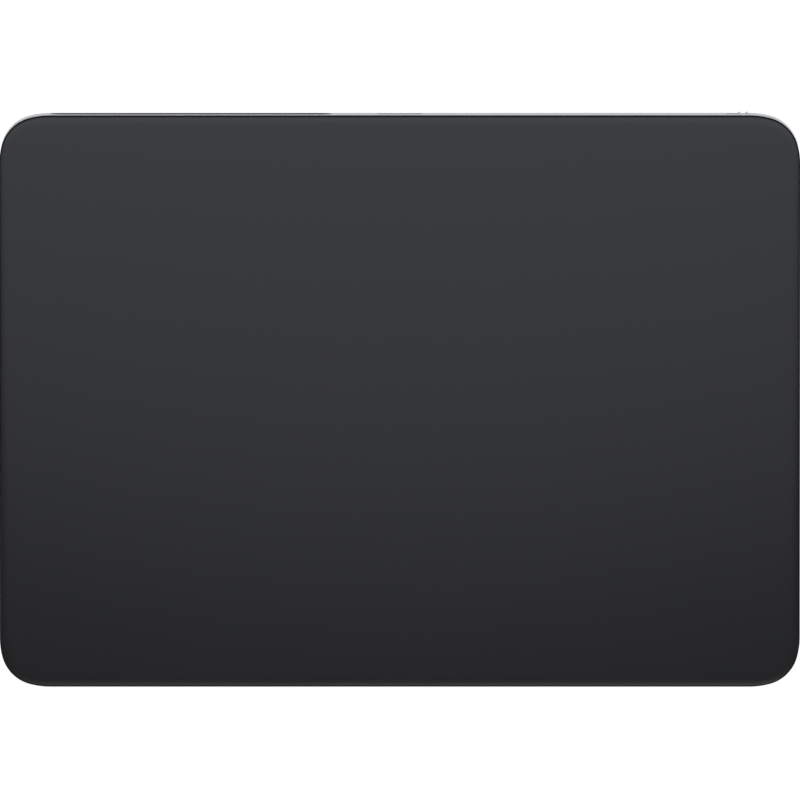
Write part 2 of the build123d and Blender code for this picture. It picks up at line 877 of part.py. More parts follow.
with BuildPart() as switch_housing:
    with BuildSketch(rear_plane(depth / 2 - switch_rear)):
        with Locations((slot_x, 0)):
            Rectangle(switch_width, port_shell_height)
    extrude(amount=switch_depth)
    with BuildSketch(rear_plane(depth / 2 - switch_rear)):
        with Locations((knob_x - travel / 2, 0)):
            Rectangle(groove_width, groove_height)
    extrude(amount=groove_depth, mode=Mode.SUBTRACT)
keep(switch_housing, "switch_housing")

with BuildPart() as switch_board:
    with BuildSketch(Plane.XY.offset(board_bottom)) as switch_blank:
        with Locations((slot_x, (switch_board_front + switch_rear) / 2)):
            Rectangle(switch_board_width, switch_rear - switch_board_front)
        chamfer(switch_blank.vertices(), switch_board_corner)
        with Locations(*switch_screw_places):
            RegularPolygon(screw_hole_radius, screw_shank_sides, mode=Mode.SUBTRACT)
    extrude(amount=board_thickness)
keep(switch_board, "switch_board")

switch_seats = [Plane((x, y, board_bottom)) for x, y in switch_screw_places]
switch_screws = screw_set(
    switch_seats,
    switch_post_radius,
    screw_head_height,
    board_thickness + screw_thread_depth - screw_hole_gap,
)
keep(switch_screws, "switch_screws")

switch_board_left = slot_x - switch_board_width / 2

with BuildPart() as switch_flex:
    with BuildSketch(Plane.XY.offset(board_bottom)):
        with Locations((board_half_width - switch_flex_lap, board_screw_y)):
            Rectangle(
                switch_board_left - board_half_width + 2 * switch_flex_lap,
                switch_flex_width,
                align=(Align.MIN, Align.MIN),
            )
    extrude(amount=-flex_thickness)
keep(switch_flex, "switch_flex")

# Haptic engine under the deck: frame, coils and cores above, armature with magnets below
frame_drop = deck_drop + haptic_plate_thickness
armature_drop = frame_drop + coil_thickness + air_gap
haptic_room = height_at(deck_drop, haptic_front) - cover_top - haptic_cover_gap
frame_height = haptic_room * cos(slope)
armature_thickness = frame_height - (armature_drop - deck_drop)
armature_length = haptic_length - 2 * (haptic_wall_thickness + spring_room)
armature_depth = haptic_depth - 2 * (haptic_wall_thickness + armature_side_gap)
coil_pitch = armature_length / coil_count
coil_length = coil_pitch - coil_gap
coil_xs = [(place + 0.5) * coil_pitch - armature_length / 2 for place in range(coil_count)]

with BuildPart() as haptic_frame:
    with BuildSketch(level(deck_drop)):
        with Locations((0, haptic_y)):
            Rectangle(haptic_length, haptic_depth)
        with Locations(
            (0, haptic_y + haptic_screw_y),
            (0, haptic_y - haptic_screw_y),
        ):
            Rectangle(haptic_length + 2 * haptic_ear, haptic_ear_length)
        with Locations(*haptic_screw_places):
            RegularPolygon(screw_hole_radius, screw_shank_sides, mode=Mode.SUBTRACT)
    extrude(amount=-haptic_plate_thickness)
    with BuildSketch(level(deck_drop)):
        for side in (-1, 1):
            with Locations((side * (haptic_length - haptic_wall_thickness) / 2, haptic_y)):
                Rectangle(haptic_wall_thickness, haptic_depth)
            with Locations((0, haptic_y + side * (haptic_depth - haptic_wall_thickness) / 2)):
                Rectangle(haptic_length, haptic_wall_thickness)
    extrude(amount=-frame_height)
keep(haptic_frame, "haptic_frame")

with BuildPart() as haptic_coils:
    with BuildSketch(level(frame_drop)) as windings:
        with Locations(*[(coil_x, haptic_y) for coil_x in coil_xs]):
            Rectangle(coil_length, coil_depth)
        chamfer(windings.vertices(), coil_corner)
        with Locations(*[(coil_x, haptic_y) for coil_x in coil_xs]):
            Rectangle(
                coil_length - 2 * coil_bar,
                coil_depth - 2 * coil_bar,
                mode=Mode.SUBTRACT,
            )
    extrude(amount=-coil_thickness)
keep(haptic_coils, "haptic_coils")

with BuildPart() as haptic_cores:
    with BuildSketch(level(frame_drop)):
        for coil_x in coil_xs:
            with Locations((coil_x, haptic_y)):
                Rectangle(
                    coil_length - 2 * coil_bar - 2 * core_gap,
                    coil_depth - 2 * coil_bar - 2 * core_gap,
                )
    extrude(amount=-coil_thickness)
keep(haptic_cores, "haptic_cores")

magnet_places = [
    (coil_x + side * (coil_length - coil_bar) / 2, haptic_y)
    for coil_x in coil_xs
    for side in (-1, 1)
]

with BuildPart() as haptic_armature:
    with BuildSketch(level(armature_drop)) as plate:
        with Locations((0, haptic_y)):
            Rectangle(armature_length, armature_depth)
        chamfer(plate.vertices(), armature_corner)
        with Locations(*magnet_places):
            Rectangle(
                magnet_width + 2 * magnet_gap,
                magnet_depth + 2 * magnet_gap,
                mode=Mode.SUBTRACT,
            )
    extrude(amount=-armature_thickness)
keep(haptic_armature, "haptic_armature")

with BuildPart() as haptic_magnets:
    with BuildSketch(level(armature_drop)):
        with Locations(*magnet_places):
            Rectangle(magnet_width, magnet_depth)
    extrude(amount=-armature_thickness)
keep(haptic_magnets, "haptic_magnets")

spring_start = armature_length / 2
spring_end = haptic_length / 2 - haptic_wall_thickness
spring_step = (spring_end - spring_start) / 3
spring_outer = armature_depth / 2 - armature_corner - spring_thickness
spring_points = [
    (spring_start, spring_outer),
    (spring_start + spring_step, spring_outer),
    (spring_start + spring_step, spring_outer - spring_leg),
    (spring_start + 2 * spring_step, spring_outer - spring_leg),
    (spring_start + 2 * spring_step, spring_outer),
    (spring_end, spring_outer),
]

with BuildPart() as haptic_springs:
    with BuildSketch(level(armature_drop)):
        for side in (-1, 1):
            for end in (-1, 1):
                with BuildLine():
                    Polyline(*[(side * x, haptic_y + end * y) for x, y in spring_points])
                trace(line_width=spring_thickness)
    extrude(amount=-spring_thin_share * armature_thickness)
keep(haptic_springs, "haptic_springs")

haptic_seats = [
    Plane(
        origin=level(frame_drop).from_local_coords((x, y, 0)),
        x_dir=(1, 0, 0),
        z_dir=level(0).z_dir,
    )
    for x, y in haptic_screw_places
]
haptic_screws = screw_set(
    haptic_seats,
    screw_head_radius,
    screw_head_height,
    haptic_plate_thickness + haptic_thread_depth - screw_hole_gap,
)
keep(haptic_screws, "haptic_screws")

haptic_flex_low = board_top + connector_height + flex_thickness / 2
haptic_flex_drop = deck_drop + flex_thickness / 2
haptic_flex_turn = connector_y + connector_length / 2 - flex_thickness / 2
haptic_flex = folded_flex(
    [
        (haptic_rear, height_at(haptic_flex_drop, haptic_rear)),
        (haptic_flex_turn, height_at(haptic_flex_drop, haptic_flex_turn)),
        (haptic_flex_turn, haptic_flex_low),
        (connector_y - connector_length / 2, haptic_flex_low),
    ],
    haptic_flex_x,
    haptic_connector_width,
)
keep(haptic_flex, "haptic_flex")

# Four feet, each with the flexure that it presses on
for name, (side, end) in corners.items():
    place = (side * foot_x, end * foot_y)
    beam_middle = end * (foot_y + root_y) / 2
    with BuildPart() as flexure:
        with BuildSketch(Plane.XY.offset(flexure_bottom)) as blank:
            with Locations((side * foot_x, end * root_y)):
                Rectangle(flexure_root_width, flexure_root_length)
            chamfer(blank.vertices(), flexure_root_corner)
            with Locations((side * foot_x, beam_middle)):
                Rectangle(flexure_beam_width, foot_y - root_y)
            with Locations(place):
                RegularPolygon(flexure_head_radius, turned_sides)
                RegularPolygon(
                    plunger_pin_radius + flexure_pin_gap,
                    turned_sides,
                    mode=Mode.SUBTRACT,
                )
            with Locations(*flexure_screw_places):
                RegularPolygon(screw_hole_radius, screw_shank_sides, mode=Mode.SUBTRACT)
        extrude(amount=flexure_thickness)
    keep(flexure, f"flexure_{name}")

    with BuildPart() as foot_pad:
        with BuildSketch():
            with Locations(place):
                Circle(foot_radius)
        extrude(amount=foot_pad_thickness)
    keep(foot_pad, f"foot_pad_{name}")

    with BuildPart() as foot_plunger:
        step_bottom = foot_pad_thickness
        stem_bottom = foot_pad_thickness + plunger_flange_thickness
        for radius, step_top in (
            (plunger_flange_radius, stem_bottom),
            (plunger_stem_radius, flexure_bottom),
            (plunger_pin_radius, flexure_top),
            (rivet_radius, flexure_top + rivet_thickness),
        ):
            with BuildSketch(Plane.XY.offset(step_bottom)):
                with Locations(place):
                    RegularPolygon(radius, turned_sides)
            extrude(amount=step_top - step_bottom)
            step_bottom = step_top
    keep(foot_plunger, f"foot_plunger_{name}")

flexure_seats = [Plane((x, y, flexure_bottom)) for x, y in flexure_screw_places]
flexure_screws = screw_set(
    flexure_seats,
    flexure_screw_head_radius,
    flexure_screw_head_height,
    flexure_thickness + screw_thread_depth - screw_hole_gap,
)
keep(flexure_screws, "flexure_screws")

# Strain gauges on the flexures, and one flat cable along each side that reads them
gauge_y = root_y + gauge_setback

with BuildPart() as strain_gauges:
    with BuildSketch(Plane.XY.offset(flexure_top)):
        for side, end in corners.values():
            with Locations((side * foot_x, end * gauge_y)):
                Rectangle(gauge_width, gauge_length)
    extrude(amount=gauge_thickness)
keep(strain_gauges, "strain_gauges")

gauge_flex_bottom = flexure_top + gauge_thickness
gauge_flex_low = gauge_flex_bottom + flex_thickness / 2
gauge_flex_high = board_bottom - flex_thickness / 2
gauge_flex_end = gauge_y + gauge_flex_reach
gauge_arm_y = root_y + gauge_flex_turn_gap
gauge_arm_end = board_front - 2 * gauge_flex_step

with BuildPart() as gauge_flexes:
    with BuildSketch(Plane.XY.offset(gauge_flex_bottom)):
        for side in (-1, 1):
            with Locations((side * foot_x, 0)):
                Rectangle(gauge_flex_width, 2 * gauge_flex_end)
            with Locations((side * (foot_x + gauge_flex_x) / 2, gauge_arm_y)):
                Rectangle(foot_x - gauge_flex_x + gauge_flex_width, gauge_flex_width)
            with Locations((side * gauge_flex_x, gauge_arm_y)):
                Rectangle(
                    gauge_flex_width,
                    gauge_arm_end + gauge_flex_step / 2 - gauge_arm_y,
                    align=(Align.CENTER, Align.MIN),
                )
    extrude(amount=flex_thickness)
    for side in (-1, 1):
        step_up = folded_flex(
            [
                (gauge_arm_end, gauge_flex_low),
                (gauge_arm_end + gauge_flex_step, gauge_flex_low),
                (board_front - flex_thickness, gauge_flex_high),
                (board_front + gauge_flex_board_overlap, gauge_flex_high),
            ],
            side * gauge_flex_x,
            gauge_flex_width,
        )
        add(step_up.part)
keep(gauge_flexes, "gauge_flexes")
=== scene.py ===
import json
from math import atan, cos, pi, radians, sin, tan

import bmesh
import bpy
import numpy as np
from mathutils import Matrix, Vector


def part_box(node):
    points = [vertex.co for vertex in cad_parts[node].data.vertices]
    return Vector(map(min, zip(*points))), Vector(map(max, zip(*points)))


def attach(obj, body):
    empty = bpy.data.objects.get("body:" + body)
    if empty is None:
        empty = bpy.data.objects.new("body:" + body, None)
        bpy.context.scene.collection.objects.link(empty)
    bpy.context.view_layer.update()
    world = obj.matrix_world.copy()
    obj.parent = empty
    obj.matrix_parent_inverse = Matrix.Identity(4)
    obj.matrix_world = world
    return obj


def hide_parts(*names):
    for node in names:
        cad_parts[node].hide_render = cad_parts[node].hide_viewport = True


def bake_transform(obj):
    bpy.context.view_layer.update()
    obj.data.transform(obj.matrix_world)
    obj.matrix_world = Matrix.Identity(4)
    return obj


bl_info = {
    "name": "Wedge glass trackpad",
    "version": (1, 0, 0),
    "blender": (4, 5, 0),
    "location": "View3D > Sidebar > Trackpad",
    "description": "Dresses the trackpad's frame with its glass, feet, switch, windings and finishes",
    "category": "Object",
}

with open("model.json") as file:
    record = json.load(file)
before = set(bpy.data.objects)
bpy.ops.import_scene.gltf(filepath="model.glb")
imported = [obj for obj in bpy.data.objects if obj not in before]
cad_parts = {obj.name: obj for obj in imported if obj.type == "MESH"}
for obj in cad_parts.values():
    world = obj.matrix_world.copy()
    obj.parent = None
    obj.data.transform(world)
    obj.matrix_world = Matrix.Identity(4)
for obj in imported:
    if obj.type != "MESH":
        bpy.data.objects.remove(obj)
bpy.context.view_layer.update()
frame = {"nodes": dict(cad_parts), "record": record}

MM = 0.001
merge_distance = 0.001 * MM  # the frame's meshes repeat each point for every face
case_low, case_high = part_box("enclosure")
glass_low, glass_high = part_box("glass_top")
half_width = (case_high.x - case_low.x) / 2
half_depth = (glass_high.y - glass_low.y) / 2
corners = ("rear_right", "rear_left", "front_right", "front_left")


# Sizes and colours that a user would change

class GlassSizes(bpy.types.PropertyGroup):
    """Sizes of the glass and the wedge that carries it."""

    front_height: bpy.props.FloatProperty(
        name="Front height", description="Top of the glass at its front edge",
        default=4.9 * MM, unit="LENGTH")
    rear_height: bpy.props.FloatProperty(
        name="Rear height", description="Top of the glass at its rear edge",
        default=10.9 * MM, unit="LENGTH")
    thickness: bpy.props.FloatProperty(
        name="Thickness", description="Thickness of the sheet of glass",
        default=1.1 * MM, unit="LENGTH")
    roll_width: bpy.props.FloatProperty(
        name="Roll width", description="How far in from the rim the glass starts to roll off",
        default=2.4 * MM, unit="LENGTH")
    roll_drop: bpy.props.FloatProperty(
        name="Roll drop", description="How far the roll-off falls before the upright rim",
        default=0.5 * MM, unit="LENGTH")
    roll_power: bpy.props.FloatProperty(
        name="Roll power", description="2 is an ellipse, and more keeps the top flat for longer",
        default=2.4)
    corner_radius: bpy.props.FloatProperty(
        name="Corner radius", description="Radius of a corner's tight middle arc",
        default=7.7 * MM, unit="LENGTH")
    blend_radius: bpy.props.FloatProperty(
        name="Blend radius", description="Radius of the soft arcs that lead into a corner",
        default=16.0 * MM, unit="LENGTH")
    blend_angle: bpy.props.FloatProperty(
        name="Blend angle", description="Turn that each soft arc makes",
        default=radians(15), subtype="ANGLE", unit="ROTATION")


class SmallSizes(bpy.types.PropertyGroup):
    """Sizes of the small pieces that the scene shapes more closely than the frame."""

    pad_lip: bpy.props.FloatProperty(
        name="Foot lip", description="Radius of the rounded lip of a foot",
        default=0.3 * MM, unit="LENGTH")
    pad_hollow: bpy.props.FloatProperty(
        name="Foot hollow", description="Depth of the shallow dish inside the lip of a foot",
        default=0.06 * MM, unit="LENGTH")
    knob_corner: bpy.props.FloatProperty(
        name="Knob corner", description="Corner radius of the switch knob",
        default=0.45 * MM, unit="LENGTH")
    knob_dish: bpy.props.FloatProperty(
        name="Knob dish", description="Depth of the finger dish in the switch knob",
        default=0.35 * MM, unit="LENGTH")
    knob_rim: bpy.props.FloatProperty(
        name="Knob rim", description="Width of the ridge at each side of the dish",
        default=0.2 * MM, unit="LENGTH")
    wire: bpy.props.FloatProperty(
        name="Coil wire", description="Diameter of the copper wire in the coils, as it is drawn",
        default=0.5 * MM, unit="LENGTH")
    coil_gap: bpy.props.FloatProperty(
        name="Coil gap", description="Room between one coil and the next",
        default=3.5 * MM, unit="LENGTH")


class Colours(bpy.types.PropertyGroup):
    """Colours as sRGB hex values."""

    glass: bpy.props.StringProperty(
        name="Glass", description="Black print behind the glass", default="090a0e")
    aluminium: bpy.props.StringProperty(
        name="Aluminium", description="Clear anodised case", default="b5b6b8")
    window: bpy.props.StringProperty(
        name="Radio window", description="Plastic of the radio window", default="3a3b3d")
    foot: bpy.props.StringProperty(
        name="Foot", description="Silicone of the feet", default="a3a5a7")


# Numpy surfaces

def sizes():
    """The three groups of sizes and colours on the scene."""
    scene = bpy.context.scene
    return scene.trackpad_glass, scene.trackpad_small, scene.trackpad_colours


def slope():
    """Angle of the glass over the desk."""
    glass = bpy.context.scene.trackpad_glass
    return atan((glass.rear_height - glass.front_height) / (2 * half_depth))


def height_at(drop, y):
    """Height over the desk of the plane this far under the glass's top, at a place front to rear."""
    glass = bpy.context.scene.trackpad_glass
    middle = (glass.front_height + glass.rear_height) / 2
    return middle + y * tan(slope()) - drop / cos(slope())


def arc(centre, radius, start, turn, count):
    """Points of an arc: centre plus radius times the cosine and sine of evenly spaced angles."""
    angle = start + turn * np.arange(count) / count
    return np.column_stack([centre[0] + radius * np.cos(angle), centre[1] + radius * np.sin(angle)])


def body_outline(inset):
    """Outline of the wedge seen from above, moved inwards, counter-clockwise.
    A quarter is a soft arc, a tight arc and a soft arc whose centres lie on each other's end radii,
    and the other quarters are its mirror images, so the straight sides join them."""
    glass = bpy.context.scene.trackpad_glass
    soft = glass.blend_radius - inset
    tight = glass.corner_radius - inset
    turn = glass.blend_angle
    soft_points, tight_points = 10, 24
    gap = glass.blend_radius - glass.corner_radius
    reach = soft * (sin(turn) + 1 - cos(turn)) + tight * (cos(turn) - sin(turn))
    low = (half_width - inset - soft, half_depth - inset - reach)
    middle = (low[0] + gap * cos(turn), low[1] + gap * sin(turn))
    high = (half_width - inset - reach, half_depth - inset - soft)
    quarter = np.vstack([
        arc(low, soft, 0, turn, soft_points),
        arc(middle, tight, turn, pi / 2 - 2 * turn, tight_points),
        arc(high, soft, pi / 2 - turn, turn, soft_points),
        [[high[0], half_depth - inset]],
    ])
    left = quarter[::-1] * [-1, 1]
    return np.vstack([quarter, left, quarter * [-1, -1], left * [-1, -1]])


def mesh_piece(name, points, faces, sharp_angle=35):
    """A new object from arrays of points and faces, smooth but for edges over the given angle."""
    mesh = bpy.data.meshes.new(name)
    mesh.from_pydata(np.asarray(points).tolist(), [], faces)
    mesh.validate()
    mesh.shade_smooth()
    mesh.set_sharp_from_angle(angle=radians(sharp_angle))
    piece = bpy.data.objects.new(name, mesh)
    bpy.context.scene.collection.objects.link(piece)
    return piece


def ring_faces(rings, count, start=0, closed=False):
    """Quads between each ring of points and the next, the last joined to the first where closed."""
    ring, side = np.meshgrid(np.arange(rings if closed else rings - 1), np.arange(count), indexing="ij")
    here, there = ring * count, (ring + 1) % rings * count
    after = (side + 1) % count
    quads = np.stack([here + side, here + after, there + after, there + side], axis=-1)
    return (quads.reshape(-1, 4) + start).tolist()


def stacked(name, rings, **options):
    """A closed solid from rings of equally many points, listed from its bottom cap to its top cap,
    each ring counter-clockwise as seen from the top."""
    count = len(rings[0])
    points = np.vstack(rings)
    faces = ring_faces(len(rings), count)
    faces.append(list(range(count))[::-1])
    faces.append(list(range(len(points) - count, len(points))))
    return mesh_piece(name, points, faces, **options)


def evenly(outline, count):
    """The same closed outline as points at equal steps along its length."""
    around = np.vstack([outline, outline[:1]])
    run = np.concatenate([[0], np.cumsum(np.hypot(*np.diff(around, axis=0).T))])
    steps = run[-1] * np.arange(count) / count
    return np.column_stack([np.interp(steps, run, around[:, 0]), np.interp(steps, run, around[:, 1])])


def placed(outline, z):
    """Outline points with a height, one number or one for each point."""
    return np.column_stack([outline, np.broadcast_to(z, len(outline))])


# Nodes and finishes

def linear(code):
    """Linear colour of an sRGB hex value: the power curve over 0.04045 and a straight line under it."""
    value = np.array([int(code[place:place + 2], 16) for place in (0, 2, 4)]) / 255
    flat = np.where(value <= 0.04045, value / 12.92, ((value + 0.055) / 1.055) ** 2.4)
    return (*flat.tolist(), 1.0)


def add_node(tree, kind, links=(), **settings):
    """One node with its settings, and its inputs set to a value or linked to another node's output."""
    node = tree.nodes.new(kind)
    for name, value in settings.items():
        setattr(node, name, value)
    for name, value in dict(links).items():
        if isinstance(value, bpy.types.NodeSocket):
            tree.links.new(value, node.inputs[name])
        else:
            node.inputs[name].default_value = value
    return node


def math_node(tree, operation, first, second):
    """Output of one Math node on two numbers or outputs."""
    return add_node(
        tree, "ShaderNodeMath", {0: first, 1: second}, operation=operation).outputs[0]


def bare_material(name):
    """A material and its node tree, still empty."""
    material = bpy.data.materials.new(name)
    material.use_nodes = True
    material.node_tree.nodes.clear()
    return material, material.node_tree


def plain(name, colour, roughness, **values):
    """A material with one Principled shader, and Object coordinates for its patterns."""
    material, tree = bare_material(name)
    shader = add_node(
        tree, "ShaderNodeBsdfPrincipled", {"Base Color": linear(colour), "Roughness": roughness})
    for socket, value in values.items():
        shader.inputs[socket.replace("_", " ")].default_value = value
    add_node(tree, "ShaderNodeOutputMaterial", {"Surface": shader.outputs[0]})
    place = add_node(tree, "ShaderNodeTexCoord").outputs["Object"]
    return material, tree, shader, place


def grain(tree, place, pitch, detail=2.0):
    """Noise whose grains are this many metres apart."""
    return add_node(
        tree, "ShaderNodeTexNoise",
        {"Vector": place, "Scale": 1 / pitch, "Detail": detail, "Roughness": 0.6},
    ).outputs["Fac"]


def lines_across(tree, place, pitch):
    """Soft lines this many metres apart along x. The texture is a sine of 20 times the scaled
    coordinate, so it repeats when that grows by a full turn."""
    return add_node(
        tree, "ShaderNodeTexWave",
        {"Vector": place, "Scale": 2 * pi / (20 * pitch), "Distortion": 0.0},
        bands_direction="X").outputs["Fac"]


def relief(tree, shader, height, depth):
    """Bump of this many metres on the shader."""
    bump = add_node(tree, "ShaderNodeBump", {"Height": height, "Distance": depth, "Strength": 1.0})
    tree.links.new(bump.outputs[0], shader.inputs["Normal"])


def spread(tree, fac, low, high):
    """A number that runs from low to high with a noise."""
    return add_node(
        tree, "ShaderNodeMapRange",
        {"Value": fac, "From Min": 0.3, "From Max": 0.7, "To Min": low, "To Max": high},
    ).outputs[0]


def two_tone(tree, shader, fac, first, second):
    """Base colour that wanders between two hex colours with a number."""
    mix = add_node(tree, "ShaderNodeMix", {"Factor": fac}, data_type="RGBA")
    mix.inputs[6].default_value = linear(first)
    mix.inputs[7].default_value = linear(second)
    tree.links.new(mix.outputs[2], shader.inputs["Base Color"])


def etched_black_glass():
    """Toughened glass over a black print, its top etched to a fine matte tooth:
    the lights show in it only as a wide soft sheen, brightest where the rim rolls off."""
    colour = sizes()[2].glass
    material, tree, shader, place = plain("etched_black_glass", colour, 0.36, IOR=1.5)
    tooth = grain(tree, place, 0.12 * MM)
    cloud = grain(tree, place, 14 * MM)
    tree.links.new(spread(tree, cloud, 0.355, 0.365), shader.inputs["Roughness"])
    relief(tree, shader, tooth, 0.0006 * MM)
    return material


def ground_glass_edge():
    """The same glass on its upright rim, with little gloss and a rough face, so that it reads as a thin
    dull black line: painted shade along the rim.
    """
    colour = sizes()[2].glass
    material, tree, shader, place = plain(
        "ground_glass_edge", colour, 0.7, IOR=1.5, Specular_IOR_Level=0.12)
    relief(tree, shader, grain(tree, place, 0.08 * MM), 0.004 * MM)
    return material


def bead_blasted_aluminium():
    """Aluminium, bead blasted and clear anodised: an even satin grey with a fine pebbled tooth.
    The beads leave marks of about 0.05 mm, drawn at 0.16 mm so that they show at all."""
    colour = sizes()[2].aluminium
    material, tree, shader, place = plain("bead_blasted_aluminium", colour, 0.42, Metallic=1.0)
    tooth = grain(tree, place, 0.16 * MM)
    cloud = grain(tree, place, 9 * MM)
    tree.links.new(spread(tree, cloud, 0.415, 0.43), shader.inputs["Roughness"])
    relief(tree, shader, tooth, 0.004 * MM)
    return material


def knob_aluminium():
    """Milled aluminium of the switch knob: the same anodising over a smoother face."""
    material, tree, shader, place = plain("knob_aluminium", "bcbec0", 0.34, Metallic=1.0)
    relief(tree, shader, grain(tree, place, 0.10 * MM), 0.002 * MM)
    return material


def moulded_window():
    """Glass-filled nylon, moulded with a spark-eroded tooth: flat grey beside the metal, no gloss."""
    colour = sizes()[2].window
    material, tree, shader, place = plain(
        "moulded_nylon_window", colour, 0.85, IOR=1.53, Specular_IOR_Level=0.05)
    relief(tree, shader, grain(tree, place, 0.14 * MM), 0.006 * MM)
    two_tone(tree, shader, grain(tree, place, 0.5 * MM), colour, "424345")
    return material


def silicone_foot():
    """Grey silicone, moulded: soft and dull, with a faint dusty sheen on its lip."""
    colour = sizes()[2].foot
    material, tree, shader, place = plain(
        "moulded_silicone", colour, 0.68, IOR=1.41, Sheen_Weight=0.15)
    relief(tree, shader, grain(tree, place, 0.3 * MM), 0.01 * MM)
    two_tone(tree, shader, grain(tree, place, 1.4 * MM), colour, "999b9e")
    return material


def black_moulding(name="black_moulding", colour="1d1e20", roughness=0.5):
    """Black liquid-crystal polymer, moulded: even and slightly shiny, with flow clouds."""
    material, tree, shader, place = plain(name, colour, roughness, IOR=1.55)
    relief(tree, shader, grain(tree, place, 0.1 * MM), 0.003 * MM)
    tree.links.new(
        spread(tree, grain(tree, place, 1.5 * MM), roughness - 0.06, roughness + 0.06),
        shader.inputs["Roughness"])
    return material


def grey_moulding():
    """Grey acetal, moulded: waxy and smooth, as sliding parts are."""
    return black_moulding("grey_acetal", "242527", 0.6)


def drawn_steel(name, colour, roughness, along=(1.0, 0.05, 1.0), line=0.08 * MM, depth=0.002 * MM):
    """Sheet or turned steel with fine lines from rolling: the noise is stretched along them."""
    material, tree, shader, place = plain(name, colour, roughness, Metallic=1.0)
    stretch = add_node(tree, "ShaderNodeMapping", {"Vector": place, "Scale": along}).outputs[0]
    lines = grain(tree, stretch, line)
    tree.links.new(spread(tree, lines, roughness - 0.05, roughness + 0.07), shader.inputs["Roughness"])
    relief(tree, shader, lines, depth)
    return material


def port_steel():
    """Stainless steel of the port's shell, deep drawn: fine lines run in along the mouth."""
    return drawn_steel("drawn_stainless", "b9babb", 0.28)


def spring_steel():
    """Cold-rolled spring steel: bright, with lines along the strip."""
    return drawn_steel("rolled_spring_steel", "c3c3c2", 0.24, line=0.12 * MM)


def plate_steel():
    """Pickled sheet steel of the haptic frame and armature: darker, with a brushed face."""
    return drawn_steel("pickled_sheet_steel", "8e8f91", 0.36, along=(0.05, 1.0, 1.0), line=0.15 * MM)


def screw_steel():
    """Steel screw, black nickel plated: dark, smooth and a little warm."""
    return drawn_steel("black_nickel_steel", "5c5b5a", 0.26, line=0.06 * MM, depth=0.001 * MM)


def tinned_steel():
    """Tin-plated steel of the shield cans: pale, with a cloudy spangle."""
    material, tree, shader, place = plain("tinned_steel", "c9c9c5", 0.32, Metallic=1.0)
    spangle = add_node(
        tree, "ShaderNodeTexVoronoi", {"Vector": place, "Scale": 1 / (1.2 * MM)}).outputs["Distance"]
    tree.links.new(spread(tree, spangle, 0.26, 0.40), shader.inputs["Roughness"])
    relief(tree, shader, spangle, 0.001 * MM)
    return material


def gold_plate():
    """Gold flash over nickel on the port's contacts: warm and bright."""
    return drawn_steel("gold_flash", "e0b656", 0.22, line=0.05 * MM, depth=0.0005 * MM)


def enamelled_copper():
    """Copper wire under clear enamel: deep orange, with a hard gloss from the enamel."""
    material, tree, shader, place = plain(
        "enamelled_copper", "b5623a", 0.34, Metallic=1.0, Coat_Weight=0.6, Coat_Roughness=0.12)
    two_tone(tree, shader, grain(tree, place, 0.9 * MM), "b5623a", "9c4f2e")
    return material


def solder_mask():
    """Glass-epoxy board under black solder mask: a faint weave of about 0.5 mm shows through."""
    material, tree, shader, place = plain("black_solder_mask", "14181b", 0.38, IOR=1.5)
    weave = add_node(
        tree, "ShaderNodeTexChecker",
        {"Vector": place, "Scale": 1 / (0.5 * MM)}).outputs["Fac"]
    cloud = grain(tree, place, 0.8 * MM)
    relief(tree, shader, math_node(tree, "MULTIPLY", weave, cloud), 0.004 * MM)
    two_tone(tree, shader, cloud, "14181b", "1b2226")
    return material


def chip_epoxy():
    """Moulded epoxy of the chips: dark grey and dull, with fine filler grains."""
    return black_moulding("moulded_epoxy", "232425", 0.6)


def polyimide_film():
    """Polyimide flat cable over copper: amber, with the tracks 0.5 mm apart showing as bands."""
    material, tree, shader, place = plain("polyimide_over_copper", "b5762f", 0.34, IOR=1.7)
    tracks = lines_across(tree, place, 0.5 * MM)
    two_tone(tree, shader, tracks, "b5762f", "8a5522")
    relief(tree, shader, tracks, 0.02 * MM)
    return material


def black_film():
    """Black bonding film: dull, with a faint stipple from its liner."""
    return black_moulding("black_bonding_film", "151515", 0.7)


def pouch_foil():
    """Laminated foil of the battery pouch under black nylon: softly wrinkled and satin."""
    material, tree, shader, place = plain(
        "laminated_pouch_foil", "2b2c2e", 0.36, IOR=1.5, Coat_Weight=0.2)
    relief(tree, shader, grain(tree, place, 7 * MM, detail=4), 0.12 * MM)
    tree.links.new(spread(tree, grain(tree, place, 3 * MM), 0.30, 0.44), shader.inputs["Roughness"])
    return material


def cell_foam():
    """Closed-cell urethane foam: black, with open pores of about 0.3 mm on its cut faces, painted darker
    in their hollows as shade.
    """
    material, tree, shader, place = plain("urethane_foam", "262626", 0.9, IOR=1.4)
    pores = add_node(
        tree, "ShaderNodeTexVoronoi", {"Vector": place, "Scale": 1 / (0.3 * MM)}).outputs["Distance"]
    relief(tree, shader, pores, 0.12 * MM)
    # The pores' hollows get the darker tone and their rims the lighter one: painted shade
    two_tone(tree, shader, pores, "101010", "303030")
    return material


def sintered_iron():
    """Soft iron and nickel-plated magnets: grey metal with a grainy, pressed face."""
    material, tree, shader, place = plain("pressed_magnetic_metal", "8a8a8b", 0.4, Metallic=1.0)
    relief(tree, shader, grain(tree, place, 0.2 * MM), 0.01 * MM)
    return material


def green_film():
    """Green polyester film that the open switch shows: bright and flat."""
    material, tree, shader, place = plain("green_polyester", "39b54a", 0.45, IOR=1.6)
    relief(tree, shader, grain(tree, place, 0.1 * MM), 0.002 * MM)
    return material


def gauge_film():
    """Foil strain gauge on film: copper-coloured grid lines 0.3 mm apart on amber."""
    material, tree, shader, place = plain("foil_gauge", "c08a3c", 0.4, IOR=1.6)
    lines = lines_across(tree, place, 0.3 * MM)
    two_tone(tree, shader, lines, "c08a3c", "7d5a2a")
    return material


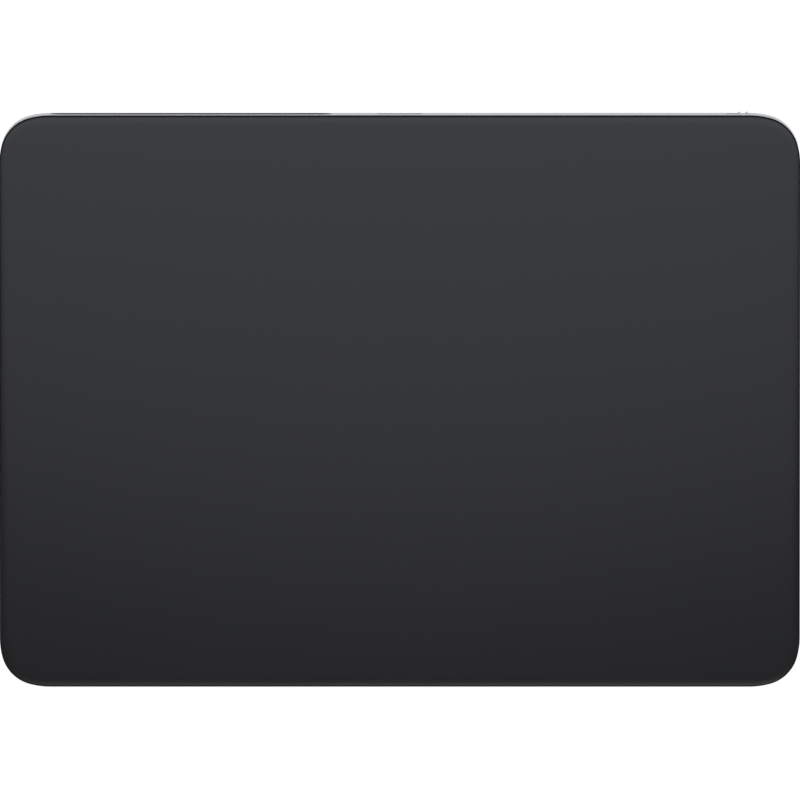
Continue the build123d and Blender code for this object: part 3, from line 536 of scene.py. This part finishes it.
finishes = {
    "black_glass": etched_black_glass,
    "adhesive": black_film,
    "circuit_board": solder_mask,
    "chip": chip_epoxy,
    "flat_cable": polyimide_film,
    "anodised_aluminium": bead_blasted_aluminium,
    "radio_window": moulded_window,
    "cover_aluminium": bead_blasted_aluminium,
    "port_steel": port_steel,
    "port_plastic": black_moulding,
    "gold_contacts": gold_plate,
    "screw_steel": screw_steel,
    "shield_steel": tinned_steel,
    "connector_plastic": black_moulding,
    "antenna_plastic": black_moulding,
    "copper": enamelled_copper,
    "battery_foil": pouch_foil,
    "foam": cell_foam,
    "knob_aluminium": knob_aluminium,
    "carrier_plastic": grey_moulding,
    "green_flag": green_film,
    "frame_steel": plate_steel,
    "core_steel": sintered_iron,
    "armature_steel": plate_steel,
    "magnet": sintered_iron,
    "spring_steel": spring_steel,
    "gauge_film": gauge_film,
    "flexure_steel": spring_steel,
    "foot_rubber": silicone_foot,
    "plunger_steel": port_steel,
}


def finish_of(slot_name):
    """The material of a slot, made once."""
    make = finishes[slot_name]
    name = f"finish_{make.__name__}"
    if name not in bpy.data.materials:
        make().name = name
    return bpy.data.materials[name]


def dress(piece, body, slot_name, *nodes):
    """Give a new piece its finish, and let it ride on a body and stand for nodes of the frame."""
    piece.data.materials.append(finish_of(slot_name))
    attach(piece, body)
    if nodes:
        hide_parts(*nodes)
    return piece


def merge_and_smooth():
    """Geometry nodes that merge a frame mesh's doubled points, and shade it smooth
    but for edges that turn more than 25 degrees."""
    tree = bpy.data.node_groups.new("merge_and_smooth", "GeometryNodeTree")
    tree.interface.new_socket("Geometry", in_out="INPUT", socket_type="NodeSocketGeometry")
    tree.interface.new_socket("Geometry", in_out="OUTPUT", socket_type="NodeSocketGeometry")
    start = add_node(tree, "NodeGroupInput")
    merged = add_node(
        tree, "GeometryNodeMergeByDistance", {"Geometry": start.outputs[0], "Distance": merge_distance})
    angle = add_node(tree, "GeometryNodeInputMeshEdgeAngle").outputs["Unsigned Angle"]
    sharp = math_node(tree, "GREATER_THAN", angle, radians(25))
    smooth = add_node(
        tree, "GeometryNodeSetShadeSmooth",
        {"Geometry": merged.outputs[0], "Shade Smooth": True}, domain="FACE")
    creased = add_node(
        tree, "GeometryNodeSetShadeSmooth",
        {"Geometry": smooth.outputs[0], "Selection": sharp, "Shade Smooth": False},
        domain="EDGE")
    add_node(tree, "NodeGroupOutput", {"Geometry": creased.outputs[0]})
    return tree


# Operators

class TRACKPAD_OT_finishes(bpy.types.Operator):
    """Give every piece of the frame its finish and smooth shading"""

    bl_idname = "trackpad.finishes"
    bl_label = "Finish the frame's pieces"

    def execute(self, context):
        tree = merge_and_smooth()
        for part in frame["record"]["subparts"]:
            piece = frame["nodes"][part["node"]]
            piece.data.materials.clear()
            piece.data.materials.append(finish_of(part["material_slot"]))
            piece.modifiers.new("merge_and_smooth", "NODES").node_group = tree
        return {"FINISHED"}


class TRACKPAD_OT_glass(bpy.types.Operator):
    """Make the sheet of glass with its rolled-off rim"""

    bl_idname = "trackpad.glass"
    bl_label = "Glass top"

    def execute(self, context):
        glass = sizes()[0]
        # Width and drop follow a superellipse: cosine and sine of one angle, to the power 2 / roll_power
        angle = np.linspace(0, pi / 2, 22)
        inset = glass.roll_width * (1 - np.cos(angle) ** (2 / glass.roll_power))
        drop = glass.roll_drop * (1 - np.sin(angle) ** (2 / glass.roll_power))
        # The lower edge is broken in two steps
        lip = 0.12 * MM
        step = 0.3 * lip
        under = glass.thickness
        insets = np.concatenate([[lip, step, 0], inset])
        drops = np.concatenate([[under, under - step, under - lip], drop])
        rings = []
        for ring_inset, ring_drop in zip(insets, drops):
            outline = body_outline(ring_inset)
            rings.append(placed(outline, height_at(ring_drop, outline[:, 1])))
        piece = stacked("glass_sheet", rings)
        dress(piece, "case", "black_glass", "glass_top")
        # The dull rim, a thin line of painted shade, starts where the roll-off has fallen this share of
        # its drop
        ground_share = 0.42
        piece.data.materials.append(ground_glass_edge())
        centres = np.empty(3 * len(piece.data.polygons))
        piece.data.polygons.foreach_get("center", centres)
        x, y, z = centres.reshape(-1, 3).T
        rim_top = height_at(ground_share * glass.roll_drop, y)
        piece.data.polygons.foreach_set("material_index", (z < rim_top).astype(np.int32))
        return {"FINISHED"}


class TRACKPAD_OT_feet(bpy.types.Operator):
    """Make the four silicone feet with their rounded lip and shallow dish"""

    bl_idname = "trackpad.feet"
    bl_label = "Feet"

    def execute(self, context):
        small = sizes()[1]
        for corner in corners:
            low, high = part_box(f"foot_pad_{corner}")
            centre = (low + high) / 2
            radius = (high.x - low.x) / 2
            lip, hollow = small.pad_lip, small.pad_hollow
            top_edge = 0.1 * MM
            turn = np.linspace(0, pi / 2, 8)
            # From the dish's middle out to its end, up to the lip's foot, round the lip, up the side
            # and over the top edge, each as a radius and a height
            profile = np.vstack([
                [[0.25 * radius, hollow], [0.7 * radius, hollow]],
                [[radius - 2.6 * lip, hollow], [radius - 1.8 * lip, 0]],
                np.column_stack([radius - lip + lip * np.sin(turn), lip - lip * np.cos(turn)]),
                [[radius, high.z - top_edge], [radius - top_edge, high.z]],
            ])
            sides = 96
            angle = np.linspace(0, 2 * pi, sides, endpoint=False)
            rings = []
            for ring_radius, z in profile:
                circle = np.column_stack([np.cos(angle), np.sin(angle)]) * ring_radius
                rings.append(placed(circle + [centre.x, centre.y], low.z + z))
            piece = stacked(f"silicone_foot_{corner}", rings)
            dress(piece, f"foot_{corner}", "foot_rubber", f"foot_pad_{corner}")
        return {"FINISHED"}


class TRACKPAD_OT_switch(bpy.types.Operator):
    """Make the switch knob with its finger dish"""

    bl_idname = "trackpad.switch"
    bl_label = "Power switch knob"

    def execute(self, context):
        small = sizes()[1]
        low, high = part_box("switch_knob")
        centre = (low + high) / 2
        half_x, half_z = (high.x - low.x) / 2, (high.z - low.z) / 2
        edge = 0.08 * MM
        corner = small.knob_corner
        angle = np.linspace(0, 2 * pi, 97)[:-1] + pi / 96
        # A rounded rectangle: a circle of the corner's radius pushed out to each quarter's centre
        ring = np.column_stack([np.cos(angle), np.sin(angle)])
        outline = evenly(ring * corner + np.sign(ring) * [half_x - corner, half_z - corner], 160)
        dish_half = half_x - small.knob_rim
        # The body, the softened edge and the face, each as a scale of the outline and a step back
        steps = [(1, None), (1, edge), (1 - 0.3 * edge / half_x, 0.3 * edge), (1 - edge / half_x, 0)]
        steps += [(scale, 0) for scale in np.linspace(0.88, 0.04, 22)]
        rings = []
        for scale, back in steps:
            flat = outline * scale
            dip = small.knob_dish * np.clip(1 - (flat[:, 0] / dish_half) ** 2, 0, None)
            y = np.full(len(flat), low.y) if back is None else high.y - back - dip
            rings.append(np.column_stack([centre.x + flat[:, 0], y, centre.z + flat[:, 1]]))
        # Seen from the rear, x runs to the left, so the rings turn the other way round
        rings = [ring_points[::-1] for ring_points in rings]
        piece = stacked("switch_knob_cap", rings, sharp_angle=60)
        dress(piece, "power_switch", "knob_aluminium", "switch_knob")
        return {"FINISHED"}


class TRACKPAD_OT_windings(bpy.types.Operator):
    """Wind the three flat coils of the haptic engine"""

    bl_idname = "trackpad.windings"
    bl_label = "Coil windings"

    def execute(self, context):
        small = sizes()[1]
        low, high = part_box("haptic_coils")
        core_low, core_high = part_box("haptic_cores")
        tilt = slope()
        middle_y = (low.y + high.y) / 2
        middle_z = (low.z + high.z) / 2
        depth = (high.y - low.y) / cos(tilt)
        # The wound bar of a coil fills what its core leaves free, less the core's clearance
        core_gap = 0.2 * MM
        bar = ((high.x - low.x) - (core_high.x - core_low.x)) / 2 - core_gap
        coil_count = 3
        pitch = (high.x - low.x + small.coil_gap) / coil_count
        length = (high.x - low.x) - (coil_count - 1) * pitch
        turns = int(bar / small.wire)
        outer_corner, least_corner = 3.0 * MM, 0.6 * MM
        wire_share = 0.48  # of the wire's diameter, so that turns don't quite touch
        around = np.linspace(0, 2 * pi, 65)[:-1] + pi / 64
        side = np.linspace(0, 2 * pi, 9)[:-1]
        unit = np.column_stack([np.cos(around), np.sin(around)])
        points, faces = [], []
        for coil in range(coil_count):
            centre_x = low.x + length / 2 + coil * pitch
            for turn in range(turns):
                inset = (turn + 0.5) * bar / turns
                corner = max(outer_corner - inset, least_corner)
                half = np.array([length / 2 - inset, depth / 2 - inset])
                path = unit * corner + np.sign(unit) * (half - corner)
                # Each turn is a tube: the path moved out along its normal and up by a circle's two parts
                swell = wire_share * small.wire
                flat = path[None] + unit[None] * (np.cos(side) * swell)[:, None, None]
                rise = np.repeat((np.sin(side) * swell)[:, None], len(path), axis=1)
                x = centre_x + flat[..., 0]
                y = middle_y + flat[..., 1] * cos(tilt) - rise * sin(tilt)
                z = middle_z + flat[..., 1] * sin(tilt) + rise * cos(tilt)
                ring = np.stack([x, y, z], axis=-1)
                faces += ring_faces(len(side), len(path), start=sum(map(len, points)), closed=True)
                points.append(ring.reshape(-1, 3))
        piece = mesh_piece("coil_windings", np.vstack(points), faces, sharp_angle=180)
        dress(piece, "case", "copper", "haptic_coils")
        return {"FINISHED"}


def supple_copy(name, node, start, end, side=0, lengths=8):
    """A copy of a frame node, or of what lies on one side of it, cut across into even lengths from
    start to end, so that it has points to bend at. The node itself stays as it is."""
    form = bmesh.new()
    form.from_mesh(frame["nodes"][node].data)
    bmesh.ops.remove_doubles(form, verts=form.verts, dist=merge_distance)
    other_side = [point for point in form.verts if point.co.x * side < 0]
    bmesh.ops.delete(form, geom=other_side, context="VERTS")
    for step in range(lengths + 1):
        bmesh.ops.bisect_plane(
            form, geom=form.verts[:] + form.edges[:] + form.faces[:], dist=merge_distance,
            plane_co=start.lerp(end, step / lengths), plane_no=end - start)
    form.verts.index_update()
    points = [point.co[:] for point in form.verts]
    faces = [[point.index for point in face.verts] for face in form.faces]
    form.free()
    return mesh_piece(name, points, faces, sharp_angle=25)


class TRACKPAD_OT_bending(bpy.types.Operator):
    """Make the leaf springs and the flexures as copies cut into even lengths, with points to bend at"""

    bl_idname = "trackpad.bending"
    bl_label = "Springs and flexures"

    def execute(self, context):
        # A spring is cut into lengths from the frame's wall to the armature's edge
        low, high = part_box("haptic_springs")
        armature_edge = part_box("haptic_armature")[1].x
        for side, hand in ((-1, "left"), (1, "right")):
            wall = Vector((side * high.x, (low.y + high.y) / 2, (low.z + high.z) / 2))
            armature = Vector((side * armature_edge, wall.y, wall.z))
            self.bend(f"leaf_springs_{hand}", "haptic_springs", "spring_steel", "haptic_mover",
                      wall, armature, side)
        # A flexure is cut into lengths between its gauge and the plunger
        gauge_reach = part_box("strain_gauges")[1].y
        for corner in corners:
            low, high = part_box(f"foot_plunger_{corner}")
            end = 1 if low.y > 0 else -1
            nearest = low.y if end > 0 else high.y
            gauge = Vector(((low.x + high.x) / 2, end * gauge_reach, low.z))
            plunger = Vector((gauge.x, nearest, low.z))
            self.bend(f"flexure_plate_{corner}", f"flexure_{corner}", "flexure_steel",
                      f"foot_{corner}", gauge, plunger)
        return {"FINISHED"}

    def bend(self, name, node, slot_name, body, start, end, side=0):
        """One piece that stands for a node, cut into lengths from start to end. The body is not used."""
        piece = supple_copy(name, node, start, end, side)
        piece.data.materials.append(finish_of(slot_name))
        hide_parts(node)
        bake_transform(piece)


class TRACKPAD_OT_stage(bpy.types.Operator):
    """Make the floor, the lamps, the world and the camera"""

    bl_idname = "trackpad.stage"
    bl_label = "Floor, lamps and camera"

    def execute(self, context):
        self.floor()
        self.tent()
        self.world(context.scene)
        self.lamps(context.scene)
        self.camera(context.scene)
        context.scene.view_settings.view_transform = "Standard"
        return {"FINISHED"}

    def floor(self):
        """A pale floor that reads white to the camera but keeps a faint shadow."""
        reach = 6.0
        floor = mesh_piece(
            "floor", [(-reach, -reach, 0), (reach, -reach, 0), (reach, reach, 0), (-reach, reach, 0)],
            [(0, 1, 2, 3)])
        material, tree = bare_material("pale_floor")
        path = add_node(tree, "ShaderNodeLightPath").outputs
        seen = math_node(tree, "MAXIMUM", path["Is Camera Ray"], path["Is Transmission Ray"])
        # Reflections see mostly paint, with the dark line that the object's foot leaves in it
        glossy_share = 0.2
        mirrored = math_node(tree, "MULTIPLY", path["Is Glossy Ray"], glossy_share)
        seen = math_node(tree, "MAXIMUM", seen, mirrored)
        share = add_node(
            tree, "ShaderNodeMapRange", {"Value": seen, "To Min": 0.35, "To Max": 0.95})
        paint = add_node(tree, "ShaderNodeBsdfDiffuse", {"Color": linear("f4f4f4")})
        glow = add_node(tree, "ShaderNodeEmission", {"Color": (1, 1, 1, 1), "Strength": 1.02})
        mix = add_node(
            tree, "ShaderNodeMixShader", {0: share.outputs[0], 1: paint.outputs[0], 2: glow.outputs[0]})
        # From below the floor is clear, so that the underside shows
        below = add_node(tree, "ShaderNodeNewGeometry").outputs["Backfacing"]
        clear = add_node(tree, "ShaderNodeBsdfTransparent")
        either = add_node(
            tree, "ShaderNodeMixShader", {0: below, 1: mix.outputs[0], 2: clear.outputs[0]})
        add_node(tree, "ShaderNodeOutputMaterial", {"Surface": either.outputs[0]})
        material.cycles.emission_sampling = "NONE"
        floor.data.materials.append(material)

    def tent(self):
        """A half sphere of cloth round the desk, seen only in reflections: white at its foot and
        dark grey overhead, so that the rims catch a bright line and the flat glass stays black.
        A point is the radius times the cosines and sines of its turn and of its rise."""
        radius, sides = 2.0, 48
        highest_ring, ring_count = 87, 24
        turn = 2 * pi * np.arange(sides) / sides
        rings = [
            np.column_stack([
                radius * cos(rise) * np.cos(turn), radius * cos(rise) * np.sin(turn),
                np.full(sides, radius * sin(rise))])
            for rise in np.radians(np.linspace(0, highest_ring, ring_count))]
        faces = ring_faces(len(rings), sides)
        faces.append(list(range(sides * (len(rings) - 1), sides * len(rings))))
        cloth = mesh_piece("light_tent", np.vstack(rings), faces)
        material, tree = bare_material("tent_cloth")
        place = add_node(tree, "ShaderNodeTexCoord").outputs["Object"]
        height = add_node(tree, "ShaderNodeSeparateXYZ", {"Vector": place}).outputs["Z"]
        fade = add_node(
            tree, "ShaderNodeMapRange",
            {"Value": height, "From Max": 0.95 * radius, "To Min": 0.75, "To Max": 0.14},
            interpolation_type="SMOOTHSTEP")
        glow = add_node(tree, "ShaderNodeEmission", {"Color": (1, 1, 1, 1), "Strength": fade.outputs[0]})
        add_node(tree, "ShaderNodeOutputMaterial", {"Surface": glow.outputs[0]})
        material.cycles.emission_sampling = "NONE"
        cloth.data.materials.append(material)
        for ray in ("camera", "diffuse", "shadow", "transmission", "volume_scatter"):
            setattr(cloth, f"visible_{ray}", False)

    def world(self, scene):
        """White to the camera, in reflections and through clear things, and a soft fill elsewhere."""
        world = bpy.data.worlds.new("studio")
        scene.world = world
        world.use_nodes = True
        tree = world.node_tree
        tree.nodes.clear()
        path = add_node(tree, "ShaderNodeLightPath").outputs
        seen = math_node(tree, "MAXIMUM", path["Is Camera Ray"], path["Is Glossy Ray"])
        seen = math_node(tree, "MAXIMUM", seen, path["Is Transmission Ray"])
        strength = add_node(
            tree, "ShaderNodeMapRange", {"Value": seen, "To Min": 0.55, "To Max": 1.0})
        back = add_node(
            tree, "ShaderNodeBackground", {"Color": (1, 1, 1, 1), "Strength": strength.outputs[0]})
        add_node(tree, "ShaderNodeOutputWorld", {"Surface": back.outputs[0]})

    def lamps(self, scene):
        """A soft box low over the rear half, whose sheen fades towards the front, a strip for each of
        the rear and front roll-offs, and a fill for the front wall."""
        cool, white = (0.97, 1.0, 1.07), (1.0, 1.0, 1.0)
        for name, place, aim, size, watts, colour in (
            ("rear_soft_box", (0, 0.082, 0.20), (0, 0.082, 0), (0.46, 0.30), 0.285, cool),
            ("rear_strip", (0, 0.080, 0.205), (0, 0.080, 0), (0.80, 0.05), 0.10, cool),
            ("front_strip", (0, -0.45, 0.58), (0, 0, 0), (0.50, 0.20), 0.20, white),
            ("front_fill", (0.3, -1.3, 0.8), (0, 0, 0), (0.9, 0.9), 3.0, white),
        ):
            light = bpy.data.lights.new(name, "AREA")
            light.color = colour
            light.shape = "ELLIPSE"
            light.size, light.size_y = size
            light.energy = watts
            lamp = bpy.data.objects.new(name, light)
            lamp.location = place
            lamp.rotation_euler = (Vector(place) - Vector(aim)).to_track_quat("Z", "Y").to_euler()
            lamp.visible_camera = False
            scene.collection.objects.link(lamp)

    def camera(self, scene):
        """Almost straight above, tipped 4.3 degrees to the rear. The lens is so long that nothing
        tapers."""
        tip = radians(4.3)
        view_width = 160.02 * MM
        camera = bpy.data.cameras.new("camera")
        camera.sensor_width = 36.0
        camera.lens = 1600.0
        camera.clip_start = 0.1
        camera.clip_end = 60.0
        distance = view_width * camera.lens / camera.sensor_width
        aim = Vector((0.05 * MM, -0.28 * MM, 0))
        eye = bpy.data.objects.new("camera", camera)
        eye.location = aim + distance * Vector((0, sin(tip), cos(tip)))
        eye.rotation_euler = (-tip, 0, 0)
        scene.collection.objects.link(eye)
        scene.camera = eye


class TRACKPAD_PT_panel(bpy.types.Panel):
    """Lists the pieces, their sizes and their colours"""

    bl_idname = "TRACKPAD_PT_panel"
    bl_label = "Trackpad"
    bl_space_type = "VIEW_3D"
    bl_region_type = "UI"
    bl_category = "Trackpad"

    def draw(self, context):
        for group in sizes():
            box = self.layout.box()
            for name in group.__annotations__:
                box.prop(group, name)
        for operator in operators:
            self.layout.operator(operator.bl_idname)


groups = (GlassSizes, SmallSizes, Colours)
operators = (
    TRACKPAD_OT_stage,
    TRACKPAD_OT_finishes,
    TRACKPAD_OT_glass,
    TRACKPAD_OT_feet,
    TRACKPAD_OT_switch,
    TRACKPAD_OT_windings,
    TRACKPAD_OT_bending,
)


def register():
    """Register the classes and hang the sizes on the scene."""
    for made in (*groups, *operators, TRACKPAD_PT_panel):
        bpy.utils.register_class(made)
    bpy.types.Scene.trackpad_glass = bpy.props.PointerProperty(type=GlassSizes)
    bpy.types.Scene.trackpad_small = bpy.props.PointerProperty(type=SmallSizes)
    bpy.types.Scene.trackpad_colours = bpy.props.PointerProperty(type=Colours)


def unregister():
    """Take them off again."""
    del bpy.types.Scene.trackpad_glass
    del bpy.types.Scene.trackpad_small
    del bpy.types.Scene.trackpad_colours
    for made in reversed((*groups, *operators, TRACKPAD_PT_panel)):
        bpy.utils.unregister_class(made)


def main():
    """Make every piece in order."""
    register()
    bpy.ops.trackpad.stage()
    bpy.ops.trackpad.finishes()
    bpy.ops.trackpad.glass()
    bpy.ops.trackpad.feet()
    bpy.ops.trackpad.switch()
    bpy.ops.trackpad.windings()
    bpy.ops.trackpad.bending()


if __name__ == "__main__":
    main()
